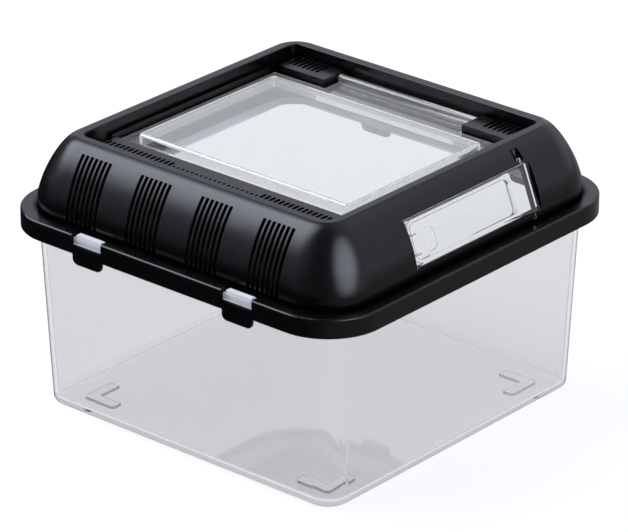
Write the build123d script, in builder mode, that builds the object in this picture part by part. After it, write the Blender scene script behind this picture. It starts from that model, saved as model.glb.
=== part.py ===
from build123d import *
import os
from math import atan2, cos, degrees, hypot, radians, sin, tan

os.makedirs("parts", exist_ok=True)

# A square pet keeper: a clear tub, a black vented lid that lifts off, a clear hatch in the
# lid's top and a clear door in its right shoulder. Four tabs on the lid hold it to the tub.
# Front is -Y, the side door is at +X, the hatch hinge is at the back (+Y).
# The origin is on the ground under the centre of the tub. Lengths are in millimetres.

# ---------------------------------------------------------------- driving dimensions: tub
foot_height = 1.5
foot_span = 149.0             # over the outer corners of two neighbouring feet
foot_arm = 18.5               # length of each arm of an L-shaped foot
foot_rib = 5.5                # width of each arm
foot_corner_radius = 2.0
tub_depth = 89.4              # underside of the tub to the lower edge of the lid's skirt
tub_setback = 11.1            # skirt face to tub wall, at the skirt's lower edge
tub_draft = 2.1               # degrees that each wall leans out
tub_wall = 2.2
tub_floor = 2.2
tub_corner_radius = 11.3
tub_edge_radius = 2.5         # round between the walls and the floor, outside
rim_plate = 3.1               # thickness of the tub's rim under the lid
lug_width = 15.2
lug_depth = 2.9
lug_rise = 1.7                # how far a lug stands above the tub's rim
lug_edge_radius = 0.5

# ---------------------------------------------------------------- driving dimensions: lid
lid_width = 205.0
lid_corner_radius = 28.4
lid_wall = 2.6                # thickness of the curved shoulder
skirt_height = 9.2
skirt_wall = 1.8
skirt_edge_radius = 1.0
flange_plate = 2.0            # flat ledge between the skirt and the shoulder
shoulder_inset = 6.8          # skirt face to the shoulder's widest line
shoulder_lift = 3.3           # flange top to the shoulder's widest line
shoulder_undercut = 1.4
shoulder_corner_radius = 24.2
shoulder_pull = 10.5          # how far the shoulder runs straight up before it bends in
crest_inset = 24.4            # skirt face to the crest, the edge between the shoulder and the flat rim
crest_height = 34.4           # flange top to the crest
crest_sink = 1.0              # how far the shoulder still climbs over its last stretch
crest_corner_radius = 9.0
crest_pull = 7.5              # length of that last, nearly level stretch
corner_ease = 1.25            # how the corner radius falls from the shoulder to the crest
rim_band = 3.9                # crest to the recess wall
recess_corner_radius = 4.0
recess_wall = 2.0
recess_edge_radius = 0.5

# Recess in the lid's top, with its depths from the top of the rim
pan_drop = 11.2               # floor that the hatch lies on
pan_plate = 2.0
shelf_drop = 4.8              # vented shelf along the front
shelf_depth = 16.8            # front to back
shelf_side_gap = 6.8          # pit between the shelf's end and the recess wall
block_drop = 5.3              # vented blocks in the rear corners
block_depth = 16.5
block_side_gap = 4.2
block_corner_radius = 4.0
hinge_bay_width = 83.6        # between the two rear blocks
plate_wall = 2.0              # walls and tops of the shelf and the blocks
ridge_gap = 0.9               # recess wall to the ridge beside the hatch
ridge_wall = 1.0
ridge_drop = 5.6
ridge_gap_drop = 8.2

# Vents
front_vent_groups = 4
front_vent_group_pitch = 36.4
front_vents_per_group = 7
front_vent_pitch = 2.8
front_vent_width = 1.9
front_vent_top = 0.76         # share of the shoulder's curve that the slots reach
front_vent_foot = 0.8         # flange top to the lower end of the slots
shelf_vent_pitch = 2.75
shelf_vent_width = 1.7
shelf_vent_length = 10.0
shelf_vent_start = 2.2        # recess wall to the slots
shelf_vent_reach = 24         # slots count from the middle out to this many pitches
shelf_short_reach = 9         # the middle ones, out to this many pitches, are shorter and narrower
shelf_short_width = 1.3
shelf_short_length = 7.3
block_vents = 7
block_vent_length = 9.8
block_vent_first = 9.2        # inner side of a block to its first slot
block_vent_setback = 7.1

# ---------------------------------------------------------------- driving dimensions: hatch
hatch_plate = 2.0
hatch_rise = 4.6              # raised window above the plate around it
hatch_window_width = 126.6
hatch_window_length = 94.7
hatch_window_shift = -0.85    # middle of the window from the lid's middle, along Y
hatch_window_radius = 2.5
hatch_window_edge_radius = 1.6
hatch_front_lip = 3.6
hatch_side_play = 0.3
hatch_back_play = 0.4
tongue_side_play = 1.0
hatch_ledge = 2.0             # ledge that stays around the opening under the hatch
hatch_opening_radius = 3.0
barrel_radius = 2.0
barrel_height = 3.6           # hinge axis above the recess floor
barrel_setback = 5.2          # hinge axis to the recess wall
hatch_pin_radius = 1.25

# ---------------------------------------------------------------- driving dimensions: door
door_length = 85.6
door_shift = 4.2              # middle of the door from the lid's middle, along Y
door_plate = 2.0
door_foot = 0.048             # shares of the shoulder's curve between which the door lies
door_head = 0.615
door_play = 0.3
door_frame_wall = 3.0
door_frame_depth = 5.0
door_ledge = 1.2              # at the free end, the foot and the head; none at the hinge end
door_groove = 2.4             # hollow in the shoulder past the hinge end of the door
door_groove_wall = 2.2
door_rib_wall = 1.4
door_rib_depth = 1.8
door_rib_play = 0.5
door_rib_setback = 11.9       # hinge end of the door to the rib
door_rib_radius = 4.5
door_hinge_setback = 2.5      # end of the door to its hinge axis
door_pin_radius = 0.9
door_pin_length = 3.0
door_pin_bearing = 1.4        # length of the upper pin's hole
door_pin_mouth_radius = 2.8   # hollow around the upper pin's end
door_swing_play = 0.3
nail_recess_height = 10.7
nail_recess_width = 6.6
nail_recess_depth = 0.8
nail_recess_radius = 3.0
nail_recess_setback = 10.4    # end of the door to the flat side of the recess
nail_recess_drop = 1.0        # middle of the door to the middle of the recess
snap_height = 9.2             # tongue between two slits at the free end of the door
snap_length = 5.5
snap_slit = 0.6

# ---------------------------------------------------------------- driving dimensions: latches
latch_spacing = 90.4          # between the middles of two latches on one side
latch_window_width = 18.2
latch_window_depth = 6.0
latch_bar_height = 4.0
latch_bar_wall = 1.7
latch_tab_width = 17.8
latch_tab_drop = 5.2          # how far the tab hangs below the skirt
latch_tab_setback = 0.5
latch_tab_radius = 3.0
latch_play = 0.1

# ---------------------------------------------------------------- fits
seat_play = 0.3               # between curved walls of the tub and the lid
running_fit = 0.06            # radial, between a hinge pin and its hole
through = 6.0                 # how far a cut runs on past the surface it opens
curve_steps = 7

# ---------------------------------------------------------------- levels and outlines
tub_bottom = foot_height
skirt_bottom = foot_height + tub_depth
flange_top = skirt_bottom + skirt_height
flange_bottom = flange_top - flange_plate
shoulder_level = flange_top + shoulder_lift
crest_top = flange_top + crest_height
rim_top = crest_top
pan_top = rim_top - pan_drop
pan_bottom = pan_top - pan_plate
shelf_top = rim_top - shelf_drop
block_top = rim_top - block_drop

lid_half = lid_width / 2
crest_half = lid_half - crest_inset
recess_half = crest_half - rim_band
skirt_inner_half = lid_half - skirt_wall
tub_half = lid_half - tub_setback
ridge_half = recess_half - ridge_gap - ridge_wall
bay_half = hinge_bay_width / 2
front_shelf_edge = shelf_depth - recess_half
block_front = recess_half - block_depth
latch_places = [(side * latch_spacing / 2, end) for end in (-1, 1) for side in (-1, 1)]


def rounded_square(level, half, radius):
    """A rounded square at a level, centred on the lid's axis."""
    with BuildSketch(Plane.XY.offset(level)) as section:
        RectangleRounded(2 * half, 2 * half, radius)
    return section.sketch


def rectangle_between(level, x_low, x_high, y_low, y_high, radius=0.0):
    """A rectangle at a level, given by its sides, with rounded corners if a radius is given."""
    with BuildSketch(Plane.XY.offset(level)) as section:
        with Locations(((x_low + x_high) / 2, (y_low + y_high) / 2)):
            if radius:
                RectangleRounded(x_high - x_low, y_high - y_low, radius)
            else:
                Rectangle(x_high - x_low, y_high - y_low)
    return section.sketch


def tub_wall_half(level):
    """Half the tub's outer width at a level."""
    return tub_half - (skirt_bottom - level) * tan(radians(tub_draft))


def shoulder_point(share):
    """Inset from the skirt face and level of the shoulder's surface, from widest line to crest."""
    rest = 1 - share
    weights = (rest**3, 3 * rest**2 * share, 3 * rest * share**2, share**3)
    insets = (shoulder_inset, shoulder_inset, crest_inset - crest_pull, crest_inset)
    levels = (shoulder_level, shoulder_level + shoulder_pull, crest_top - crest_sink, crest_top)
    inset = sum(weight * value for weight, value in zip(weights, insets))
    level = sum(weight * value for weight, value in zip(weights, levels))
    return inset, level


def shoulder_offset(share, depth):
    """A point of the shoulder moved inwards along its normal, and the normal's level share."""
    step = 0.001
    inset_a, level_a = shoulder_point(max(share - step, 0.0))
    inset_b, level_b = shoulder_point(min(share + step, 1.0))
    run, rise = inset_b - inset_a, level_b - level_a
    size = hypot(run, rise)
    inset, level = shoulder_point(share)
    return inset + depth * rise / size, level - depth * run / size, rise / size


def corner_radius_at(inset):
    """Corner radius of the shoulder where its surface has this inset."""
    share = max(inset - shoulder_inset, 0.0) / (crest_inset - shoulder_inset)
    return shoulder_corner_radius - (shoulder_corner_radius - crest_corner_radius) * share**corner_ease


def shoulder_sections(depth):
    """Rounded squares up the undercut foot and the curve, at a depth below the surface."""
    sections = []
    for angle in (0, 30, 60):
        curl = shoulder_undercut * (1 - sin(radians(angle)))
        level = flange_top + shoulder_lift * (1 - cos(radians(angle)))
        half = lid_half - shoulder_inset - curl - depth
        sections.append(rounded_square(level, half, shoulder_corner_radius - curl - depth))
    for step in range(curve_steps + 1):
        share = step / curve_steps
        inset, level, slope = shoulder_offset(share, depth)
        radius = corner_radius_at(shoulder_point(share)[0]) - depth * slope
        sections.append(rounded_square(level, lid_half - inset, radius))
    return sections


def save(part, name):
    """Label a finished piece and write it to its own file."""
    part.label = name
    export_step(part, f"parts/{name}.step")


# ---------------------------------------------------------------- tub
with BuildPart() as tub_hollow:
    floor_top = tub_bottom + tub_floor
    loft(
        [
            rounded_square(level, tub_wall_half(level) - tub_wall, tub_corner_radius - tub_wall)
            for level in (floor_top, flange_bottom)
        ]
    )
    fillet(tub_hollow.edges().group_by(Axis.Z)[0], tub_edge_radius)

with BuildPart() as tub:
    rim_bottom = flange_bottom - rim_plate
    loft([rounded_square(level, tub_wall_half(level), tub_corner_radius) for level in (tub_bottom, rim_bottom)])
    fillet(tub.edges().group_by(Axis.Z)[0], tub_edge_radius)
    rim_half = skirt_inner_half - seat_play
    extrude(rounded_square(rim_bottom, rim_half, lid_corner_radius - skirt_wall - seat_play), amount=rim_plate)
    lug_front = rim_half
    for x, end in latch_places:
        near, far = sorted((end * lug_front, end * (lug_front - lug_depth)))
        lug = rectangle_between(rim_bottom, x - lug_width / 2, x + lug_width / 2, near, far)
        extrude(lug, amount=rim_plate + lug_rise)
    lug_tops = tub.faces().sort_by(Axis.Z)[-len(latch_places):]
    fillet(lug_tops.edges(), lug_edge_radius)
    add(tub_hollow.part, mode=Mode.SUBTRACT)
    with BuildSketch(Plane.XY) as feet:
        with GridLocations(foot_span - foot_arm, foot_span - foot_arm, 2, 2):
            RectangleRounded(foot_arm, foot_arm, foot_corner_radius)
        Rectangle(foot_span - 2 * foot_rib, foot_span - 2 * foot_rib, mode=Mode.SUBTRACT)
    extrude(amount=foot_height)
save(tub.part, "tub")

# ---------------------------------------------------------------- side door's place
# The door is flat: it lies on the chord between two points of the shoulder's curve.
door_foot_inset, door_foot_level = shoulder_point(door_foot)
door_head_inset, door_head_level = shoulder_point(door_head)
door_lean = atan2(door_head_inset - door_foot_inset, door_head_level - door_foot_level)
door_height = hypot(door_head_inset - door_foot_inset, door_head_level - door_foot_level)
door_middle = Vector(
    lid_half - (door_foot_inset + door_head_inset) / 2, door_shift, (door_foot_level + door_head_level) / 2
)
door_face = Plane(origin=door_middle, x_dir=(0, 1, 0), z_dir=(cos(door_lean), 0, sin(door_lean)))
door_axis_u = door_length / 2 - door_hinge_setback
door_axis_depth = door_plate / 2
door_axis_plane = Plane(
    origin=door_face.from_local_coords((door_axis_u, 0, -door_axis_depth)), x_dir=(0, 1, 0), z_dir=door_face.y_dir
)
opening_low_u = -door_length / 2 + door_ledge
opening_high_u = door_length / 2
opening_height = door_height - 2 * door_ledge


def door_rectangle(depth, u_low, u_high, height, radius=0.0):
    """A rectangle parallel to the door's face, at a depth behind it, with rounded corners or none."""
    with BuildSketch(door_face.offset(-depth)) as section:
        with Locations(((u_low + u_high) / 2, 0)):
            if radius:
                RectangleRounded(u_high - u_low, height, radius)
            else:
                Rectangle(u_high - u_low, height)
    return section.sketch


def hinge_cylinder(radius, low, high):
    """A cylinder on the door's hinge axis, between two places along it."""
    with BuildPart() as cylinder:
        with BuildSketch(door_axis_plane.offset(low)):
            Circle(radius)
        extrude(amount=high - low)
    return cylinder.part


# ---------------------------------------------------------------- lid
with BuildPart() as lid_form:
    extrude(rounded_square(skirt_bottom, lid_half, lid_corner_radius), amount=skirt_height)
    fillet(lid_form.edges().group_by(Axis.Z)[-1], skirt_edge_radius)
    loft(shoulder_sections(0.0))

with BuildPart() as lid_hollow:
    extrude(
        rounded_square(skirt_bottom, skirt_inner_half, lid_corner_radius - skirt_wall),
        amount=flange_bottom - skirt_bottom,
    )
    base_half = lid_half - shoulder_inset - shoulder_undercut - lid_wall
    base_radius = shoulder_corner_radius - shoulder_undercut - lid_wall
    extrude(rounded_square(flange_bottom, base_half, base_radius), amount=flange_plate)
    loft(shoulder_sections(lid_wall))

with BuildPart() as door_frame:
    seat_half = door_length / 2 + door_play
    groove_end = door_length / 2 + door_groove
    frame_height = door_height + 2 * door_frame_wall
    extrude(
        door_rectangle(
            door_frame_depth, -seat_half - door_frame_wall, groove_end + door_groove_wall, frame_height
        ),
        amount=door_frame_depth + through,
    )
    add(lid_form.part, mode=Mode.INTERSECT)

with BuildPart() as lid:
    add(lid_form.part)
    add(lid_hollow.part, mode=Mode.SUBTRACT)
    add(door_frame.part)

    # Recess in the top: a tray with a vented shelf at the front and two vented blocks at the back
    tray_half = recess_half + recess_wall
    extrude(
        rounded_square(pan_bottom, tray_half, recess_corner_radius + recess_wall), amount=rim_top - pan_bottom
    )
    extrude(
        rounded_square(pan_top, recess_half, recess_corner_radius), amount=rim_top - pan_top, mode=Mode.SUBTRACT
    )
    top_edges = lid.edges().filter_by_position(Axis.Z, rim_top, rim_top)
    inner_edges = [edge for edge in top_edges if max(abs((edge @ 0.5).X), abs((edge @ 0.5).Y)) <= recess_half]
    fillet(inner_edges, recess_edge_radius)
    shelf_half = recess_half - shelf_side_gap
    extrude(
        rectangle_between(pan_top, -shelf_half, shelf_half, -recess_half, front_shelf_edge),
        amount=shelf_top - pan_top,
    )
    block_outer = recess_half - block_side_gap
    ridge_front = front_shelf_edge + recess_wall
    for side in (-1, 1):
        x_low, x_high = sorted((side * bay_half, side * block_outer))
        block = rectangle_between(pan_top, x_low, x_high, block_front, recess_half)
        extrude(block, amount=block_top - pan_top)
        x_low, x_high = sorted((side * ridge_half, side * recess_half))
        ledge = rectangle_between(pan_top, x_low, x_high, ridge_front, block_front)
        extrude(ledge, amount=rim_top - ridge_gap_drop - pan_top)
        x_low, x_high = sorted((side * ridge_half, side * (ridge_half + ridge_wall)))
        ridge = rectangle_between(pan_top, x_low, x_high, ridge_front, block_front)
        extrude(ridge, amount=rim_top - ridge_drop - pan_top)

    # Hollow undersides of the shelf and the blocks
    under_shelf_half = shelf_half - plate_wall
    extrude(
        rectangle_between(
            pan_bottom, -under_shelf_half, under_shelf_half, -tray_half, front_shelf_edge - plate_wall
        ),
        amount=shelf_top - plate_wall - pan_bottom,
        mode=Mode.SUBTRACT,
    )
    for side in (-1, 1):
        x_low, x_high = sorted((side * (bay_half + plate_wall), side * (block_outer - plate_wall)))
        extrude(
            rectangle_between(pan_bottom, x_low, x_high, block_front + plate_wall, recess_half),
            amount=block_top - plate_wall - pan_bottom,
            mode=Mode.SUBTRACT,
        )

    # Opening under the hatch, with a bay that reaches back under its tongue
    hatch_front = hatch_window_shift - hatch_window_length / 2 - hatch_front_lip
    hatch_axis_y = recess_half - barrel_setback
    opening_front = hatch_front + hatch_ledge
    for half, opening_back in (
        (ridge_half - hatch_ledge, block_front - hatch_ledge),
        (bay_half - hatch_ledge, hatch_axis_y - barrel_radius - hatch_back_play),
    ):
        extrude(
            rectangle_between(pan_bottom, -half, half, opening_front, opening_back, hatch_opening_radius),
            amount=pan_plate,
            mode=Mode.SUBTRACT,
        )

    # Vent slots in the shelf and the blocks
    block_vent_y = recess_half - block_vent_setback
    with BuildSketch(Plane.XY.offset(min(shelf_top, block_top) - plate_wall)):
        for count in range(-shelf_vent_reach, shelf_vent_reach + 1):
            width, length = shelf_vent_width, shelf_vent_length
            if abs(count) <= shelf_short_reach:
                width, length = shelf_short_width, shelf_short_length
            with Locations((count * shelf_vent_pitch, shelf_vent_start + length / 2 - recess_half)):
                Rectangle(width, length)
        for side in (-1, 1):
            for count in range(block_vents):
                x = side * (bay_half + block_vent_first + count * shelf_vent_pitch)
                with Locations((x, block_vent_y)):
                    Rectangle(shelf_vent_width, block_vent_length)
    extrude(amount=plate_wall + through, mode=Mode.SUBTRACT)

    # Vent slots in the front shoulder: each follows the curve and ends square to it
    vent_shares = [front_vent_top * step / curve_steps for step in range(curve_steps + 1)]
    vent_foot = flange_top + front_vent_foot
    vent_edge = [(shoulder_inset + shoulder_undercut + lid_wall + 1 - lid_half, vent_foot)]
    for depth, shares in ((lid_wall + 1, vent_shares), (-through / 2, reversed(vent_shares))):
        for share in shares:
            inset, level, _ = shoulder_offset(share, depth)
            vent_edge.append((inset - lid_half, level))
    vent_edge.append((shoulder_inset - through / 2 - lid_half, vent_foot))
    group_middle = (front_vent_groups - 1) / 2
    slot_middle = (front_vents_per_group - 1) / 2
    for group in range(front_vent_groups):
        for slot in range(front_vents_per_group):
            x = (group - group_middle) * front_vent_group_pitch + (slot - slot_middle) * front_vent_pitch
            with BuildSketch(Plane.YZ.offset(x)):
                with BuildLine():
                    Polyline(*vent_edge, close=True)
                make_face()
    extrude(amount=front_vent_width / 2, both=True, mode=Mode.SUBTRACT)

    # Hinge holes for the hatch, through the inner walls of the blocks
    hatch_axis_z = pan_top + barrel_height
    with BuildSketch(Plane.YZ.offset(-bay_half - plate_wall)):
        with Locations((hatch_axis_y, hatch_axis_z)):
            Circle(hatch_pin_radius + running_fit)
    extrude(amount=hinge_bay_width + 2 * plate_wall, mode=Mode.SUBTRACT)

    # Seat, opening and hinge of the side door
    extrude(
        door_rectangle(door_plate, -seat_half, seat_half, door_height),
        amount=door_plate + through,
        mode=Mode.SUBTRACT,
    )
    extrude(door_rectangle(0, 0, groove_end, door_height), amount=through, mode=Mode.SUBTRACT)
    extrude(
        door_rectangle(door_frame_depth + through, opening_low_u, opening_high_u, opening_height),
        amount=door_frame_depth + through,
        mode=Mode.SUBTRACT,
    )
    swing_radius = hypot(door_hinge_setback, door_axis_depth) + door_swing_play
    pin_end = door_height / 2 - door_play + door_pin_length
    add(hinge_cylinder(swing_radius, -door_height / 2, door_height / 2), mode=Mode.SUBTRACT)
    add(
        hinge_cylinder(door_pin_radius + running_fit, -pin_end - door_play, pin_end + through),
        mode=Mode.SUBTRACT,
    )
    mouth_low = door_height / 2 + door_pin_bearing
    add(hinge_cylinder(door_pin_mouth_radius, mouth_low, mouth_low + through), mode=Mode.SUBTRACT)

    # Windows of the four latches, through the skirt and the flange
    for x, end in latch_places:
        y_low, y_high = sorted((end * (lid_half + through), end * (lid_half - latch_window_depth)))
        half = latch_window_width / 2
        extrude(
            rectangle_between(skirt_bottom, x - half, x + half, y_low, y_high),
            amount=skirt_height,
            mode=Mode.SUBTRACT,
        )
save(lid.part, "lid")

# ---------------------------------------------------------------- top hatch
with BuildPart() as top_hatch:
    window_half = hatch_window_width / 2
    window_front = hatch_window_shift - hatch_window_length / 2
    window_back = hatch_window_shift + hatch_window_length / 2
    hatch_half = ridge_half - hatch_side_play
    hatch_back = block_front - hatch_back_play
    tongue_half = bay_half - tongue_side_play
    extrude(rectangle_between(pan_top, -hatch_half, hatch_half, hatch_front, hatch_back), amount=hatch_plate)
    extrude(
        rectangle_between(pan_top, -tongue_half, tongue_half, hatch_back, hatch_axis_y), amount=hatch_plate
    )
    window = rectangle_between(
        pan_top, -window_half, window_half, window_front, window_back, hatch_window_radius
    )
    extrude(window, amount=hatch_plate + hatch_rise)
    window_top = top_hatch.faces().sort_by(Axis.Z)[-1]
    fillet(window_top.edges(), hatch_window_edge_radius)
    hollow = rectangle_between(
        pan_top,
        hatch_plate - window_half,
        window_half - hatch_plate,
        window_front + hatch_plate,
        window_back - hatch_plate,
        hatch_window_radius / 2,
    )
    extrude(hollow, amount=hatch_rise, mode=Mode.SUBTRACT)
    barrel_place = (hatch_axis_y, hatch_axis_z)
    with BuildSketch(Plane.YZ.offset(-tongue_half)):
        with Locations(barrel_place):
            Circle(barrel_radius)
    extrude(amount=2 * tongue_half)
    pin_reach = bay_half + plate_wall
    with BuildSketch(Plane.YZ.offset(-pin_reach)):
        with Locations(barrel_place):
            Circle(hatch_pin_radius)
    extrude(amount=2 * pin_reach)
save(top_hatch.part, "top_hatch")

# ---------------------------------------------------------------- side door
with BuildPart() as side_door:
    plate_height = door_height - 2 * door_play
    extrude(
        door_rectangle(door_plate, -door_length / 2, door_length / 2, plate_height), amount=door_plate
    )
    rib_low = opening_low_u + door_rib_play
    rib_high = door_length / 2 - door_rib_setback
    rib_height = opening_height - 2 * door_rib_play
    for inset, mode in ((0, Mode.ADD), (door_rib_wall, Mode.SUBTRACT)):
        extrude(
            door_rectangle(
                door_plate + door_rib_depth,
                rib_low + inset,
                rib_high - inset,
                rib_height - 2 * inset,
                door_rib_radius - inset,
            ),
            amount=door_rib_depth,
            mode=mode,
        )
    recess_u = nail_recess_setback - door_length / 2
    with BuildSketch(door_face.offset(-nail_recess_depth)):
        with Locations((recess_u, -nail_recess_drop)):
            RectangleRounded(2 * nail_recess_width, nail_recess_height, nail_recess_radius)
            with Locations((-nail_recess_width / 2, 0)):
                Rectangle(nail_recess_width, nail_recess_height, mode=Mode.SUBTRACT)
    extrude(amount=nail_recess_depth, mode=Mode.SUBTRACT)
    with BuildSketch(door_face.offset(-door_plate - door_rib_depth)):
        for side in (-1, 1):
            with Locations((-door_length / 2, side * snap_height / 2 - nail_recess_drop)):
                Rectangle(2 * snap_length, snap_slit)
    extrude(amount=door_plate + door_rib_depth, mode=Mode.SUBTRACT)
    add(hinge_cylinder(door_pin_radius, -pin_end, pin_end))
save(side_door.part, "side_door")


# ---------------------------------------------------------------- latches
def latch(x, end):
    """One latch: a bar that closes its window in the skirt, with a tab below to pull."""
    bar_half = latch_window_width / 2 - latch_play
    face = end * lid_half
    tab_middle = (skirt_bottom - latch_tab_drop + skirt_bottom + latch_tab_radius) / 2
    tab_height = latch_tab_drop + latch_tab_radius
    with BuildPart() as piece:
        y_low, y_high = sorted((face, face - end * latch_bar_wall))
        extrude(rectangle_between(skirt_bottom, x - bar_half, x + bar_half, y_low, y_high), amount=latch_bar_height)
        with BuildSketch(Plane.XZ.offset(-face + end * latch_tab_setback)):
            with Locations((x, tab_middle)):
                RectangleRounded(latch_tab_width, tab_height, latch_tab_radius)
        extrude(amount=end * (latch_bar_wall - latch_tab_setback))
    return piece.part


for (x, end), name in zip(latch_places, ("front_left", "front_right", "rear_left", "rear_right")):
    save(latch(x, end), f"{name}_latch")

# Places that the joints use, for whoever reads this file's output
axis_point = door_axis_plane.origin
axis_dir = door_axis_plane.z_dir
print(f"hatch hinge: y {hatch_axis_y:.2f} z {hatch_axis_z:.2f} along X")
print(f"door hinge: point {axis_point.X:.3f} {axis_point.Y:.3f} {axis_point.Z:.3f}")
print(f"door hinge: axis {axis_dir.X:.5f} {axis_dir.Y:.5f} {axis_dir.Z:.5f}, lean {degrees(door_lean):.2f}")
latch_axis_y = lid_half - latch_bar_wall
print(f"latch hinges: y {latch_axis_y:.2f} z {skirt_bottom + latch_bar_height:.2f} along X")
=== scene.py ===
"""A clear plastic pet keeper with a black vented lid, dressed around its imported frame."""

import logging
import math
from dataclasses import dataclass

import bpy
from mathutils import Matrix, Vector

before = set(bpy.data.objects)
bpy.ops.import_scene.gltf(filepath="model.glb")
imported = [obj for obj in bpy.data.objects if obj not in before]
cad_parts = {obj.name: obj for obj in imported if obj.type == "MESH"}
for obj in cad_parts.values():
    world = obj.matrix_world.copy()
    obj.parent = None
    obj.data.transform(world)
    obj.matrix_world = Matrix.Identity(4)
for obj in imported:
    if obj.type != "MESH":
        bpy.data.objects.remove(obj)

log = logging.getLogger("pet_keeper")

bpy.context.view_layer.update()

# Level above which the clear tub is its rim plate and lugs, in metres
TUB_RIM_LEVEL = 0.0946

# Rounds on the edges of the clear hatch and door, in metres
HATCH_EDGE_ROUND = 0.00035
DOOR_EDGE_ROUND = 0.00025

NUMBER = "NodeSocketFloat"
VECTOR = "NodeSocketVector"

Color = tuple[float, float, float]
Plug = bpy.types.NodeSocket | float


# ------------------------------------------------------------------ shader nodes


def new_group(
    name: str, inputs: dict[str, tuple[str, float | Color]], outputs: dict[str, str]
) -> bpy.types.NodeTree:
    """Make an empty shader node group with named sockets.

    Args:
        name: the group's name.
        inputs: socket name to its type and default value.
        outputs: socket name to its type.

    Returns:
        The node group, with its input and output nodes inside.
    """
    group = bpy.data.node_groups.new(name, "ShaderNodeTree")
    for socket_name, (kind, value) in inputs.items():
        socket = group.interface.new_socket(socket_name, in_out="INPUT", socket_type=kind)
        socket.default_value = value
    for socket_name, kind in outputs.items():
        group.interface.new_socket(socket_name, in_out="OUTPUT", socket_type=kind)
    group.nodes.new("NodeGroupInput")
    group.nodes.new("NodeGroupOutput")
    return group


def feed(tree: bpy.types.NodeTree, socket: bpy.types.NodeSocket, value: Plug) -> None:
    """Link a socket to the output that feeds it, or set its plain value.

    Args:
        tree: the node tree of the socket.
        socket: the input to feed.
        value: the output to link, or a number.
    """
    if isinstance(value, bpy.types.NodeSocket):
        tree.links.new(value, socket)
    else:
        socket.default_value = value


def add_math(
    tree: bpy.types.NodeTree, operation: str, first: Plug, second: Plug, clamp: bool = False
) -> bpy.types.NodeSocket:
    """Add a sum of two values.

    Args:
        tree: the node tree to add to.
        operation: the kind of sum.
        first: the first value.
        second: the second value.
        clamp: whether the result stays between 0 and 1.

    Returns:
        The result's socket.
    """
    node = tree.nodes.new("ShaderNodeMath")
    node.operation = operation
    node.use_clamp = clamp
    feed(tree, node.inputs[0], first)
    feed(tree, node.inputs[1], second)
    return node.outputs[0]


def add_fade(
    tree: bpy.types.NodeTree,
    value: Plug,
    start: Plug,
    end: Plug,
    low: Plug = 0.0,
    high: Plug = 1.0,
) -> bpy.types.NodeSocket:
    """Add a soft step from one value to another.

    Args:
        tree: the node tree to add to.
        value: what the step follows.
        start: where the step starts.
        end: where it ends.
        low: the result up to the start.
        high: the result from the end on.

    Returns:
        The result's socket.
    """
    node = tree.nodes.new("ShaderNodeMapRange")
    node.interpolation_type = "SMOOTHSTEP"
    feed(tree, node.inputs["Value"], value)
    feed(tree, node.inputs["From Min"], start)
    feed(tree, node.inputs["From Max"], end)
    feed(tree, node.inputs["To Min"], low)
    feed(tree, node.inputs["To Max"], high)
    return node.outputs["Result"]


def add_number_mix(
    tree: bpy.types.NodeTree, share: Plug, first: Plug, second: Plug
) -> bpy.types.NodeSocket:
    """Add a mix of two numbers.

    Args:
        tree: the node tree to add to.
        share: the second number's share.
        first: the first number.
        second: the second number.

    Returns:
        The mixed number's socket.
    """
    node = tree.nodes.new("ShaderNodeMix")
    feed(tree, node.inputs["Factor"], share)
    feed(tree, node.inputs["A"], first)
    feed(tree, node.inputs["B"], second)
    return node.outputs["Result"]


def add_color_mix(
    tree: bpy.types.NodeTree, share: Plug, first: Color, second: Color
) -> bpy.types.NodeSocket:
    """Add a mix of two colours.

    Args:
        tree: the node tree to add to.
        share: the second colour's share.
        first: the first colour.
        second: the second colour.

    Returns:
        The mixed colour's socket.
    """
    node = tree.nodes.new("ShaderNodeMix")
    node.data_type = "RGBA"
    feed(tree, node.inputs[0], share)
    node.inputs[6].default_value = (*first, 1.0)
    node.inputs[7].default_value = (*second, 1.0)
    return node.outputs[2]


def add_shader_mix(
    tree: bpy.types.NodeTree,
    share: Plug,
    first: bpy.types.NodeSocket,
    second: bpy.types.NodeSocket,
) -> bpy.types.NodeSocket:
    """Add a mix of two shaders.

    Args:
        tree: the node tree to add to.
        share: the second shader's share.
        first: the first shader.
        second: the second shader.

    Returns:
        The mixed shader's socket.
    """
    node = tree.nodes.new("ShaderNodeMixShader")
    feed(tree, node.inputs["Fac"], share)
    tree.links.new(first, node.inputs[1])
    tree.links.new(second, node.inputs[2])
    return node.outputs["Shader"]


def add_diffuse(tree: bpy.types.NodeTree, color: Color) -> bpy.types.NodeSocket:
    """Add a matt shader of one colour.

    Args:
        tree: the node tree to add to.
        color: the matt colour.

    Returns:
        The shader's socket.
    """
    node = tree.nodes.new("ShaderNodeBsdfDiffuse")
    node.inputs["Color"].default_value = (*color, 1.0)
    return node.outputs["BSDF"]


def add_bump(
    tree: bpy.types.NodeTree, height: bpy.types.NodeSocket, strength: float, distance: float
) -> bpy.types.NodeSocket:
    """Add a bump.

    Args:
        tree: the node tree to add to.
        height: the height that the bump follows.
        strength: the bump's strength.
        distance: its full height in metres.

    Returns:
        The normal's socket.
    """
    node = tree.nodes.new("ShaderNodeBump")
    node.inputs["Strength"].default_value = strength
    node.inputs["Distance"].default_value = distance
    tree.links.new(height, node.inputs["Height"])
    return node.outputs["Normal"]


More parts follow.
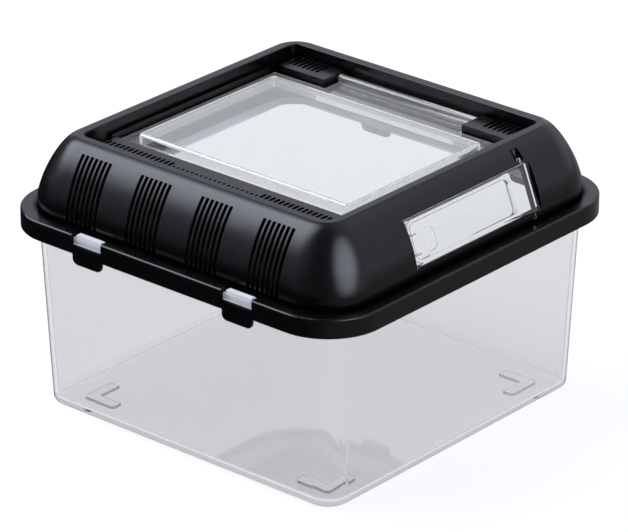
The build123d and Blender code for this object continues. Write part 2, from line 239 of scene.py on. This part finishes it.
def moulded_grain_group() -> bpy.types.NodeTree:
    """Build the fine grain and slow flow marks of moulded plastic.

    Returns:
        A group that puts out a height and a roughness that change over the surface.
    """
    group = new_group(
        "moulded_grain",
        {
            "Grain Scale": (NUMBER, 1600.0),
            "Flow Scale": (NUMBER, 14.0),
            "Roughness": (NUMBER, 0.4),
            "Spread": (NUMBER, 0.05),
        },
        {"Height": NUMBER, "Roughness": NUMBER},
    )
    nodes, links = group.nodes, group.links
    source, sink = nodes["Group Input"], nodes["Group Output"]
    place = nodes.new("ShaderNodeTexCoord")
    noises = {}
    for scale, detail in (("Grain Scale", 2.0), ("Flow Scale", 3.0)):
        noise = nodes.new("ShaderNodeTexNoise")
        noise.inputs["Detail"].default_value = detail
        links.new(place.outputs["Object"], noise.inputs["Vector"])
        links.new(source.outputs[scale], noise.inputs["Scale"])
        noises[scale] = noise.outputs["Fac"]
    centred = add_math(group, "SUBTRACT", noises["Flow Scale"], 0.5)
    spread = add_math(group, "MULTIPLY", centred, source.outputs["Spread"])
    roughness = add_math(group, "ADD", spread, source.outputs["Roughness"])
    links.new(noises["Grain Scale"], sink.inputs["Height"])
    links.new(roughness, sink.inputs["Roughness"])
    return group


def crevice_shade_group() -> bpy.types.NodeTree:
    """Build a mask of the crevices, where little of the room reaches the surface, for painted
    shade.

    Returns:
        A group that puts out 1 on open faces and falls to 0 deep in slots and corners.
    """
    group = new_group(
        "crevice",
        {"Reach": (NUMBER, 0.006), "Closed": (NUMBER, 0.5), "Open": (NUMBER, 0.9)},
        {"Value": NUMBER},
    )
    nodes, links = group.nodes, group.links
    source, sink = nodes["Group Input"], nodes["Group Output"]
    room = nodes.new("ShaderNodeAmbientOcclusion")
    room.samples = 12
    links.new(source.outputs["Reach"], room.inputs["Distance"])
    fade = add_fade(group, room.outputs["AO"], source.outputs["Closed"], source.outputs["Open"])
    links.new(fade, sink.inputs["Value"])
    return group


def soft_spot_group() -> bpy.types.NodeTree:
    """Build a round glow around one direction, which fades out softly.

    Returns:
        A group that puts out how strongly the glow shines in a direction.
    """
    group = new_group(
        "soft_spot",
        {
            "Direction": (VECTOR, (0.0, 0.0, 1.0)),
            "Middle": (VECTOR, (0.0, 0.0, 1.0)),
            "Inner Cosine": (NUMBER, 0.95),
            "Outer Cosine": (NUMBER, 0.8),
            "Strength": (NUMBER, 1.0),
        },
        {"Value": NUMBER},
    )
    nodes, links = group.nodes, group.links
    source, sink = nodes["Group Input"], nodes["Group Output"]
    closeness = nodes.new("ShaderNodeVectorMath")
    closeness.operation = "DOT_PRODUCT"
    links.new(source.outputs["Direction"], closeness.inputs[0])
    links.new(source.outputs["Middle"], closeness.inputs[1])
    fade = add_fade(
        group,
        closeness.outputs["Value"],
        source.outputs["Outer Cosine"],
        source.outputs["Inner Cosine"],
        high=source.outputs["Strength"],
    )
    links.new(fade, sink.inputs["Value"])
    return group


# ------------------------------------------------------------------ finishes


@dataclass(frozen=True)
class SatinBlack:
    """Black moulded plastic with a fine satin grain, and painted shade that dulls and darkens its
    crevices.
    """

    name: str = "satin_black"
    color: Color = (0.0012, 0.0012, 0.0014)
    refraction: float = 1.5
    gloss: float = 0.3
    roughness: float = 0.22
    spread: float = 0.06
    grain_scale: float = 1500.0
    bump: float = 0.035
    bump_height: float = 0.0002
    # Painted shade: how far the crevice test reaches, and the near-black colour painted there
    crevice_reach: float = 0.005
    crevice_shade_color: Color = (0.001, 0.001, 0.001)

    def build(self, grain: bpy.types.NodeTree, crevice: bpy.types.NodeTree) -> bpy.types.Material:
        """Make the material.

        Args:
            grain: the moulded grain group.
            crevice: the group that masks crevices for the painted shade.

        Returns:
            The finished material.
        """
        material = bpy.data.materials.new(self.name)
        material.use_nodes = True
        tree = material.node_tree
        nodes, links = tree.nodes, tree.links
        shader = nodes["Principled BSDF"]
        shader.inputs["Base Color"].default_value = (*self.color, 1.0)
        shader.inputs["IOR"].default_value = self.refraction
        shader.inputs["Specular IOR Level"].default_value = self.gloss
        texture = nodes.new("ShaderNodeGroup")
        texture.node_tree = grain
        texture.inputs["Grain Scale"].default_value = self.grain_scale
        texture.inputs["Roughness"].default_value = self.roughness
        texture.inputs["Spread"].default_value = self.spread
        bumped = add_bump(tree, texture.outputs["Height"], self.bump, self.bump_height)
        links.new(bumped, shader.inputs["Normal"])
        links.new(texture.outputs["Roughness"], shader.inputs["Roughness"])
        # Painted shade: a near-black matt shader takes over where the crevice mask falls
        room = nodes.new("ShaderNodeGroup")
        room.node_tree = crevice
        room.inputs["Reach"].default_value = self.crevice_reach
        shade = add_diffuse(tree, self.crevice_shade_color)
        surface = add_shader_mix(tree, room.outputs["Value"], shade, shader.outputs["BSDF"])
        links.new(surface, nodes["Material Output"].inputs["Surface"])
        return material


@dataclass(frozen=True)
class ClearPlastic:
    """Clear moulded polystyrene, with a painted glow where rays have bounced along inside the
    wall.

    edge_tint darkens it where it is seen edge on. Above milky_level, in metres, it is milky, and
    haze is the share of a thin film all over.
    """

    name: str
    tint: Color = (0.84, 0.843, 0.85)
    roughness: float = 0.0
    refraction: float = 1.57
    edge_tint: Color | None = None
    edge_start: float = 0.6
    edge_end: float = 0.85
    wave_scale: float = 22.0
    wave: float = 0.008
    wave_height: float = 0.002
    # Painted glow: rays past these bounce limits show a plain glow of this strength and colour
    piped_depth: float = 9.5
    piped_bounces: float = 2.5
    painted_glow_strength: float = 0.66
    painted_glow_color: Color = (0.93, 0.95, 1.0)
    milky_level: float | None = None
    milky_share: float = 0.7
    milky_color: Color = (0.53, 0.525, 0.535)
    haze: float = 0.0
    haze_color: Color = (0.74, 0.72, 0.68)
    shadow_color: Color = (0.9, 0.91, 0.93)

    def build(self) -> bpy.types.Material:
        """Make the material.

        Returns:
            The finished material.
        """
        material = bpy.data.materials.new(self.name)
        material.use_nodes = True
        tree = material.node_tree
        nodes, links = tree.nodes, tree.links
        place = nodes.new("ShaderNodeTexCoord")
        path = nodes.new("ShaderNodeLightPath")
        # Painted glow: rays that have bounced along inside the wall too often show a plain glow
        deep = self.add_piped_mask(tree, path)
        surface = add_shader_mix(tree, deep, self.add_clear(tree, place), self.add_painted_glow(tree))
        if self.milky_level is not None:
            share = self.add_milky_share(tree, place)
            surface = add_shader_mix(tree, share, surface, add_diffuse(tree, self.milky_color))
        if self.haze > 0.0:
            film = add_diffuse(tree, self.haze_color)
            surface = add_shader_mix(tree, self.haze, surface, film)
        shadow = nodes.new("ShaderNodeBsdfTransparent")
        shadow.inputs["Color"].default_value = (*self.shadow_color, 1.0)
        in_shadow = path.outputs["Is Shadow Ray"]
        surface = add_shader_mix(tree, in_shadow, surface, shadow.outputs["BSDF"])
        links.new(surface, nodes["Material Output"].inputs["Surface"])
        return material

    def add_clear(self, tree: bpy.types.NodeTree, place: bpy.types.Node) -> bpy.types.NodeSocket:
        """Add the clear plastic itself.

        Args:
            tree: the material's node tree.
            place: the node that gives the position on the object.

        Returns:
            The shader's socket.
        """
        nodes, links = tree.nodes, tree.links
        shader = nodes["Principled BSDF"]
        shader.inputs["Base Color"].default_value = (*self.tint, 1.0)
        shader.inputs["Roughness"].default_value = self.roughness
        shader.inputs["IOR"].default_value = self.refraction
        shader.inputs["Transmission Weight"].default_value = 1.0
        if self.edge_tint is not None:
            facing = nodes.new("ShaderNodeLayerWeight")
            facing.inputs["Blend"].default_value = 0.5
            grazing = add_fade(tree, facing.outputs["Facing"], self.edge_start, self.edge_end)
            deeper = add_color_mix(tree, grazing, self.tint, self.edge_tint)
            links.new(deeper, shader.inputs["Base Color"])
        wave = nodes.new("ShaderNodeTexNoise")
        wave.inputs["Scale"].default_value = self.wave_scale
        wave.inputs["Detail"].default_value = 1.0
        links.new(place.outputs["Object"], wave.inputs["Vector"])
        bumped = add_bump(tree, wave.outputs["Fac"], self.wave, self.wave_height)
        links.new(bumped, shader.inputs["Normal"])
        return shader.outputs["BSDF"]

    def add_piped_mask(
        self, tree: bpy.types.NodeTree, path: bpy.types.Node
    ) -> bpy.types.NodeSocket:
        """Add the test for light that has bounced along inside the wall.

        Args:
            tree: the material's node tree.
            path: the node that tells how a ray came here.

        Returns:
            A socket that is 1 once a ray has bounced more often than the limits.
        """
        deep = add_math(tree, "GREATER_THAN", path.outputs["Ray Depth"], self.piped_depth)
        bounced = add_math(tree, "GREATER_THAN", path.outputs["Glossy Depth"], self.piped_bounces)
        return add_math(tree, "MAXIMUM", deep, bounced)

    def add_painted_glow(self, tree: bpy.types.NodeTree) -> bpy.types.NodeSocket:
        """Add the painted glow that stands in for light running along inside the wall.

        Args:
            tree: the material's node tree.

        Returns:
            The shader's socket.
        """
        piped = tree.nodes.new("ShaderNodeEmission")
        piped.inputs["Color"].default_value = (*self.painted_glow_color, 1.0)
        piped.inputs["Strength"].default_value = self.painted_glow_strength
        return piped.outputs["Emission"]

    def add_milky_share(
        self, tree: bpy.types.NodeTree, place: bpy.types.Node
    ) -> bpy.types.NodeSocket:
        """Add the mask of the milky part above its level.

        Args:
            tree: the material's node tree.
            place: the node that gives the position on the object.

        Returns:
            A socket with the share of milkiness.
        """
        height = tree.nodes.new("ShaderNodeSeparateXYZ")
        tree.links.new(place.outputs["Object"], height.inputs[0])
        above = add_math(tree, "GREATER_THAN", height.outputs["Z"], self.milky_level)
        return add_math(tree, "MULTIPLY", above, self.milky_share)


# ------------------------------------------------------------------ the keeper's pieces


@dataclass
class CadPiece:
    """A piece whose CAD solid has the right shape and needs its finish.

    edge_round is the round on its sharp edges, in metres.
    """

    node: str
    edge_round: float = 0.0
    join_distance: float = 0.000002
    sharp_angle: float = 50.0

    def dress(self, material: bpy.types.Material) -> bpy.types.Object:
        """Give the node its material and the rounds on its edges.

        Args:
            material: the finish to wear.

        Returns:
            The dressed node.
        """
        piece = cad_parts[self.node]
        piece.data.materials.clear()
        piece.data.materials.append(material)
        if self.edge_round > 0.0:
            joined = piece.modifiers.new("joined_faces", "WELD")
            joined.merge_threshold = self.join_distance
            rounds = piece.modifiers.new("round_edges", "BEVEL")
            rounds.width = self.edge_round
            rounds.segments = 2
            rounds.limit_method = "ANGLE"
            rounds.angle_limit = math.radians(self.sharp_angle)
        log.info("dressed %s", self.node)
        return piece


# ------------------------------------------------------------------ the studio


@dataclass(frozen=True)
class Glow:
    """A soft round glow of the studio, for what the plastics mirror. Angles are in degrees."""

    turn: float
    height: float
    inner: float
    outer: float
    strength: float = 1.0

    def middle(self) -> Vector:
        """Work out the direction of the glow's middle.

        Returns:
            The direction, one unit long.
        """
        turn, height = math.radians(self.turn), math.radians(self.height)
        level = math.cos(height)
        return Vector((math.cos(turn) * level, math.sin(turn) * level, math.sin(height)))


@dataclass(frozen=True)
class SoftLamp:
    """A soft square lamp that points at the keeper. Lengths are in metres, power in watts."""

    name: str
    place: Color
    size: float
    power: float
    target: Color = (0.0, 0.0, 0.07)

    def hang(self) -> None:
        """Hang the lamp in the scene."""
        data = bpy.data.lights.new(self.name, "AREA")
        data.shape = "SQUARE"
        data.size = self.size
        data.energy = self.power
        lamp = bpy.data.objects.new(self.name, data)
        lamp.location = self.place
        aim = Vector(self.target) - Vector(self.place)
        lamp.rotation_mode = "QUATERNION"
        lamp.rotation_quaternion = aim.to_track_quat("-Z", "Y")
        lamp.visible_glossy = False
        bpy.context.scene.collection.objects.link(lamp)


@dataclass(frozen=True)
class Studio:
    """Pale floor, soft lights and the camera."""

    camera_place: Color = (1.25152, -1.44710, 0.93765)
    camera_forward: Color = (-0.5947, 0.6887, -0.4149)
    lens: float = 260.87
    sensor: float = 36.0
    floor_size: float = 6.0
    floor_color: Color = (0.75, 0.75, 0.75)
    floor_glow: float = 0.8
    mirrored_across: Color = (0.7, 0.7, 0.0)
    mirrored_start: float = -0.17
    mirrored_end: float = 0.03
    mirrored_dark: float = 0.02
    mirrored_bright: float = 0.3
    dim: float = 0.17
    glows: tuple[Glow, ...] = (
        Glow(-157.0, 46.0, 6.0, 36.0, 7.8),
        Glow(-140.0, 34.0, 10.0, 50.0, 0.5),
        Glow(-5.0, 26.0, 2.0, 32.0, 6.6),
        Glow(48.0, 24.0, 25.0, 70.0, 0.8),
        Glow(110.0, 50.0, 20.0, 60.0, 0.3),
        Glow(131.0, 15.0, 12.0, 30.0, 0.6),
    )
    cool: Color = (0.83, 0.875, 1.0)
    white: Color = (1.0, 1.0, 1.0)
    room_dark: float = 0.25
    backdrop_glow: Glow = Glow(131.0, -10.0, 42.0, 75.0)
    lamp: SoftLamp = SoftLamp("overhead", (-0.5, 0.3, 1.5), 1.2, 5.0)

    def build_camera(self) -> None:
        """Put the camera where the photograph was taken from."""
        data = bpy.data.cameras.new("camera")
        data.lens = self.lens
        data.sensor_width = self.sensor
        data.clip_start = 0.05
        data.clip_end = 20.0
        camera = bpy.data.objects.new("camera", data)
        camera.location = self.camera_place
        camera.rotation_mode = "QUATERNION"
        camera.rotation_quaternion = Vector(self.camera_forward).to_track_quat("-Z", "Y")
        bpy.context.scene.collection.objects.link(camera)
        bpy.context.scene.camera = camera

    def build_floor(self) -> None:
        """Lay a pale floor that shows as white and keeps a soft shadow."""
        half = self.floor_size / 2
        mesh = bpy.data.meshes.new("floor")
        corners = [(-half, -half, 0.0), (half, -half, 0.0), (half, half, 0.0), (-half, half, 0.0)]
        mesh.from_pydata(corners, [], [(0, 1, 2, 3)])
        mesh.materials.append(self.build_floor_material())
        floor = bpy.data.objects.new("floor", mesh)
        bpy.context.scene.collection.objects.link(floor)

    def build_floor_material(self) -> bpy.types.Material:
        """Make the floor's finish: white to look at, and darker at the front where it is mirrored.

        Returns:
            The finished material.
        """
        material = bpy.data.materials.new("pale_floor")
        material.use_nodes = True
        tree = material.node_tree
        nodes, links = tree.nodes, tree.links
        shader = nodes["Principled BSDF"]
        shader.inputs["Base Color"].default_value = (*self.floor_color, 1.0)
        shader.inputs["Roughness"].default_value = 0.9
        shader.inputs["Specular IOR Level"].default_value = 0.0
        glow = nodes.new("ShaderNodeEmission")
        glow.inputs["Color"].default_value = (*self.white, 1.0)
        path = nodes.new("ShaderNodeLightPath")
        share = add_math(tree, "MULTIPLY", self.add_seen(tree, path), self.floor_glow)
        seen = add_shader_mix(tree, share, shader.outputs["BSDF"], glow.outputs["Emission"])

        place = nodes.new("ShaderNodeTexCoord")
        across = nodes.new("ShaderNodeVectorMath")
        across.operation = "DOT_PRODUCT"
        across.inputs[1].default_value = self.mirrored_across
        links.new(place.outputs["Object"], across.inputs[0])
        bright = add_fade(
            tree,
            across.outputs["Value"],
            self.mirrored_start,
            self.mirrored_end,
            self.mirrored_dark,
            self.mirrored_bright,
        )
        mirrored = nodes.new("ShaderNodeEmission")
        links.new(bright, mirrored.inputs["Strength"])
        glossy, through = path.outputs["Is Glossy Ray"], path.outputs["Is Transmission Ray"]
        in_mirror = add_math(tree, "SUBTRACT", glossy, through, clamp=True)
        surface = add_shader_mix(tree, in_mirror, seen, mirrored.outputs["Emission"])
        links.new(surface, nodes["Material Output"].inputs["Surface"])
        return material

    def add_seen(self, tree: bpy.types.NodeTree, path: bpy.types.Node) -> bpy.types.NodeSocket:
        """Add the test for what is seen straight or through the clear plastic.

        Args:
            tree: the node tree to add to.
            path: the node that tells how a ray came here.

        Returns:
            A socket that is 1 for such rays.
        """
        straight, through = path.outputs["Is Camera Ray"], path.outputs["Is Transmission Ray"]
        return add_math(tree, "MAXIMUM", straight, through)

    def add_glow(
        self, tree: bpy.types.NodeTree, spot: bpy.types.NodeTree, place: bpy.types.Node, glow: Glow
    ) -> bpy.types.NodeSocket:
        """Add one glow to the world.

        Args:
            tree: the world's node tree.
            spot: the soft spot group.
            place: the node that gives the direction.
            glow: the glow to add.

        Returns:
            A socket with the glow's strength in each direction.
        """
        shine = tree.nodes.new("ShaderNodeGroup")
        shine.node_tree = spot
        tree.links.new(place.outputs["Generated"], shine.inputs["Direction"])
        shine.inputs["Middle"].default_value = glow.middle()
        shine.inputs["Inner Cosine"].default_value = math.cos(math.radians(glow.inner))
        shine.inputs["Outer Cosine"].default_value = math.cos(math.radians(glow.outer))
        shine.inputs["Strength"].default_value = glow.strength
        return shine.outputs["Value"]

    def build_world(self) -> None:
        """Light the studio with soft glows, white where the camera looks past the floor."""
        world = bpy.data.worlds.new("studio")
        world.use_nodes = True
        bpy.context.scene.world = world
        tree = world.node_tree
        nodes, links = tree.nodes, tree.links
        background = nodes["Background"]
        spot = soft_spot_group()
        place = nodes.new("ShaderNodeTexCoord")
        path = nodes.new("ShaderNodeLightPath")

        glowing = self.dim
        for glow in self.glows:
            glowing = add_math(tree, "ADD", glowing, self.add_glow(tree, spot, place, glow))
        backdrop = self.add_glow(tree, spot, place, self.backdrop_glow)
        backdrop = add_number_mix(tree, backdrop, self.room_dark, 1.0)
        through = path.outputs["Is Transmission Ray"]
        strength = add_number_mix(tree, through, glowing, backdrop)
        strength = add_number_mix(tree, path.outputs["Is Camera Ray"], strength, 1.0)
        links.new(strength, background.inputs["Strength"])
        color = add_color_mix(tree, self.add_seen(tree, path), self.cool, self.white)
        links.new(color, background.inputs["Color"])

    def build(self) -> None:
        """Set up the camera, the floor, the world and the lamp."""
        self.build_camera()
        self.build_floor()
        self.build_world()
        self.lamp.hang()
        bpy.context.scene.view_settings.view_transform = "Standard"


def main() -> None:
    """Dress the keeper piece by piece and set up the studio."""
    logging.basicConfig(level=logging.INFO, format="%(message)s")
    Studio().build()
    clear_door = ClearPlastic("clear_door")
    clear_hatch = ClearPlastic("clear_hatch", tint=(0.78, 0.78, 0.775), haze=0.06)
    clear_tub = ClearPlastic("clear_tub", milky_level=TUB_RIM_LEVEL, edge_tint=(0.13, 0.15, 0.2))
    CadPiece("side_door", DOOR_EDGE_ROUND).dress(clear_door.build())
    CadPiece("top_hatch", HATCH_EDGE_ROUND).dress(clear_hatch.build())
    CadPiece("tub").dress(clear_tub.build())
    black = SatinBlack().build(moulded_grain_group(), crevice_shade_group())
    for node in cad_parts:
        if node == "lid" or node.endswith("_latch"):
            CadPiece(node).dress(black)


if __name__ == "__main__":
    main()
